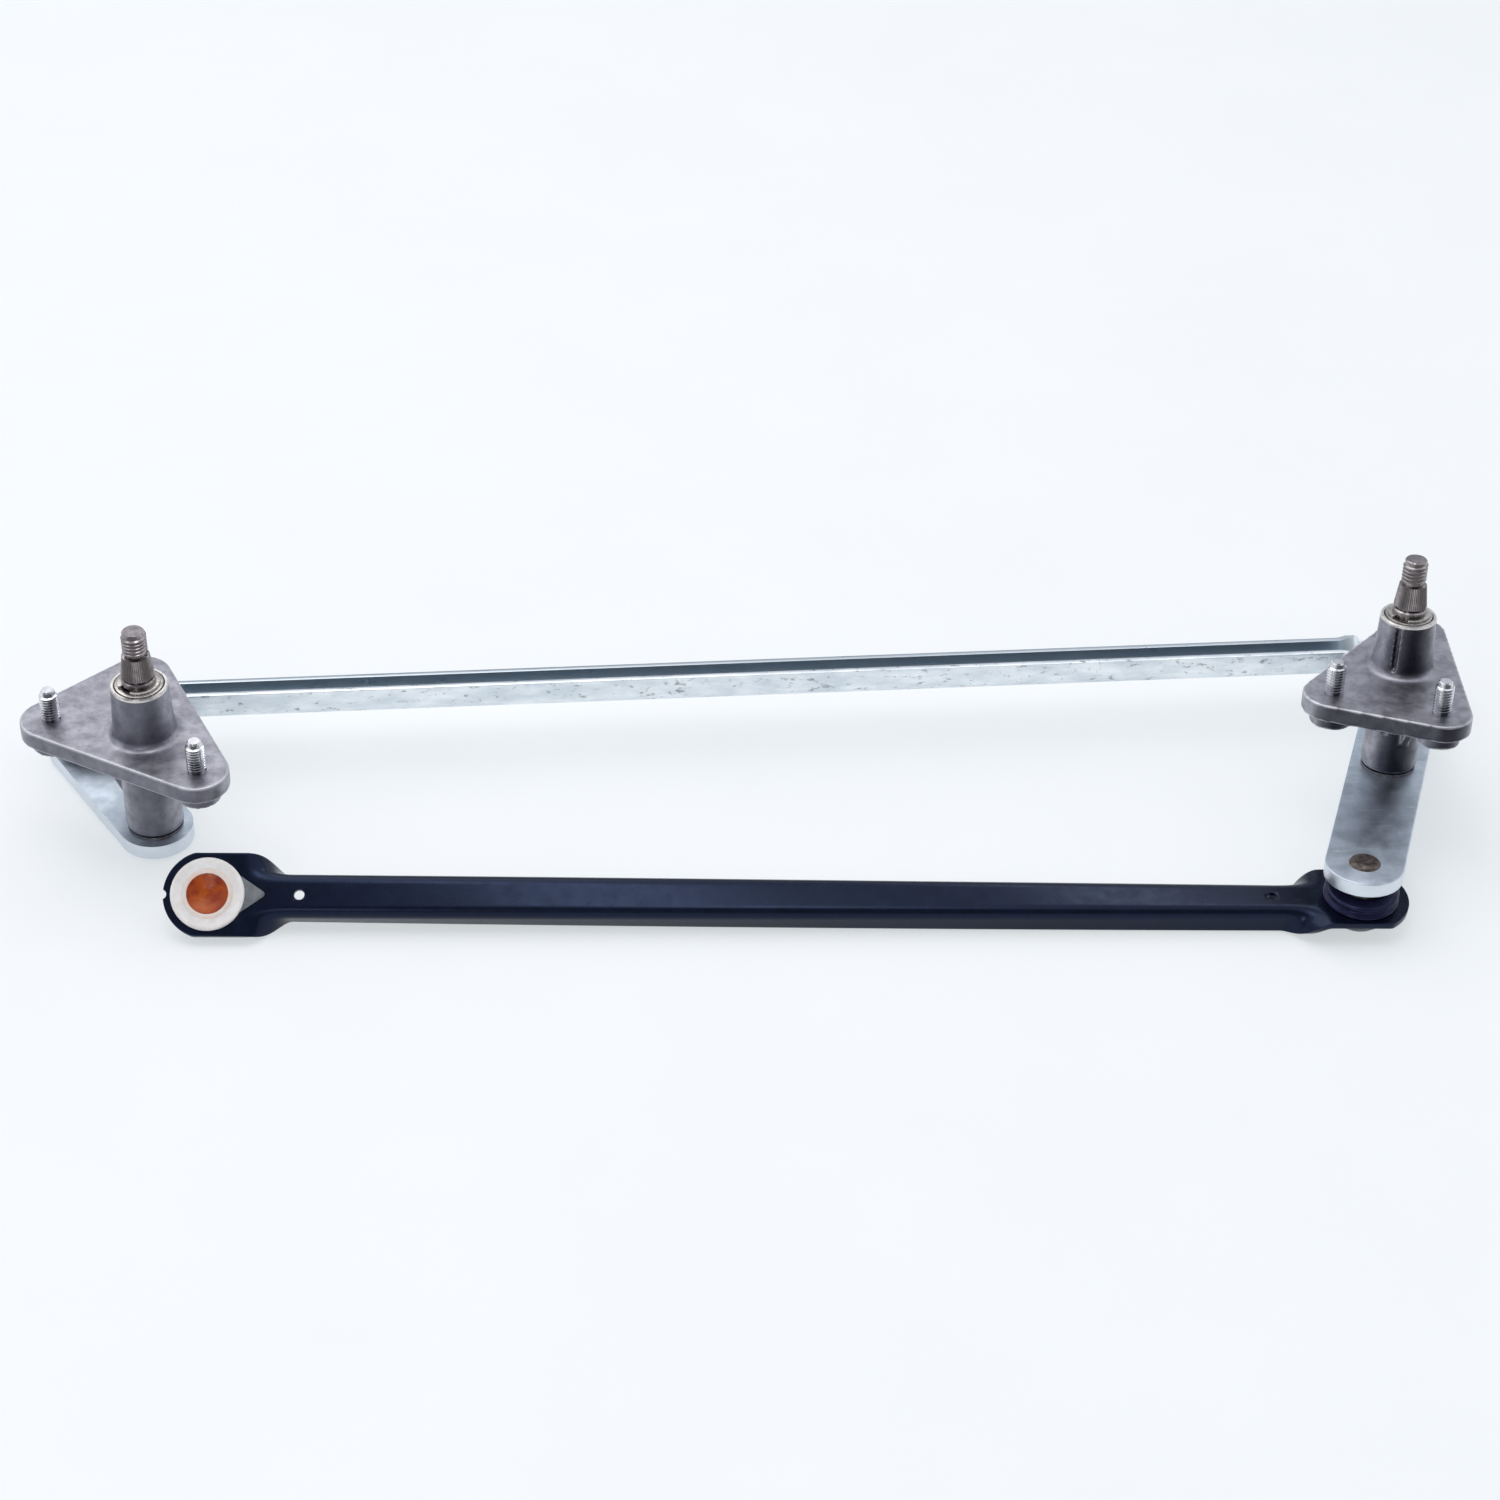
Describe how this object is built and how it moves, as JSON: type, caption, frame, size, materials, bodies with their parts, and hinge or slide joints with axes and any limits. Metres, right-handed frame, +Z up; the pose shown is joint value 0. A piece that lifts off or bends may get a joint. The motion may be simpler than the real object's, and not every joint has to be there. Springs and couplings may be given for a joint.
{
  "type": "wiper linkage",
  "caption": "Windscreen wiper linkage: flanged spindle housings with mounting studs, lever, crank, connecting link and twisted drive link joined by ball joints.",
  "frame": {"origin": "centre of the part's box, on the bench that it lies on", "axes": "+X along the links from the crank end to the lever end, +Z up along the left spindle, +Y away from the viewer of the picture"},
  "size_m": [0.4812, 0.1376, 0.0902],
  "materials": {
    "cast_alloy": "sand-blasted die casting",
    "bronze": "sintered",
    "bright_zinc": "bright zinc plate",
    "bare_steel": "turned and oiled",
    "dark_washer": "moulded",
    "nylon": "moulded",
    "black_rubber": "moulded",
    "zinc_sheet": "zinc plate",
    "black_paint": "gloss black dip paint"
  },
  "bodies": {
    "right_pivot": {"right_housing": "cast_alloy", "right_upper_bush": "bronze", "right_lower_bush": "bronze", "right_studs": "bright_zinc"},
    "right_rocker": {"right_spindle": "bare_steel", "right_thrust_washer": "dark_washer", "right_washer": "bright_zinc", "right_retaining_ring": "bare_steel", "right_lever": "zinc_sheet", "front_ball_stud": "bare_steel", "rear_ball_stud": "bare_steel"},
    "connecting_rod": {"connecting_link": "zinc_sheet", "link_left_socket": "nylon", "link_left_boot": "black_rubber", "link_right_socket": "nylon", "link_right_boot": "black_rubber"},
    "left_rocker": {"left_spindle": "bare_steel", "left_thrust_washer": "dark_washer", "left_washer": "bright_zinc", "left_retaining_ring": "bare_steel", "left_crank": "zinc_sheet", "left_ball_stud": "bare_steel"},
    "left_pivot": {"left_housing": "cast_alloy", "left_upper_bush": "bronze", "left_lower_bush": "bronze", "left_studs": "bright_zinc"},
    "drive_rod": {"drive_link": "black_paint", "drive_socket": "nylon", "drive_boot": "black_rubber", "motor_socket": "nylon"}
  },
  "joints": [
    {"name": "right_spindle_turn", "type": "hinge", "parent": "right_pivot", "child": "right_rocker", "pos_m": [0.20821, 0.00599, 0.01325], "axis": [0, 0.1318, 0.9913], "range_deg": [-50, 50]},
    {"name": "connecting_rod_swing", "type": "hinge", "parent": "right_rocker", "child": "connecting_rod", "pos_m": [0.22808, 0.0566, 0.01702], "axis": [0, 0, 1], "range_deg": [-45, 0]},
    {"name": "left_crank_swing", "type": "hinge", "parent": "connecting_rod", "child": "left_rocker", "pos_m": [-0.22733, 0.05192, 0.0165], "axis": [0, 0, 1], "range_deg": [-45, 30]},
    {"name": "left_spindle_turn", "type": "hinge", "parent": "left_rocker", "child": "left_pivot", "pos_m": [-0.20049, 0.00599, 0.0061], "axis": [0, 0, 1], "range_deg": [-50, 50]},
    {"name": "drive_rod_swing", "type": "hinge", "parent": "right_rocker", "child": "drive_rod", "pos_m": [0.18426, -0.05516, 0.00777], "axis": [0, 0, 1], "range_deg": [0, 45]}
  ]
}
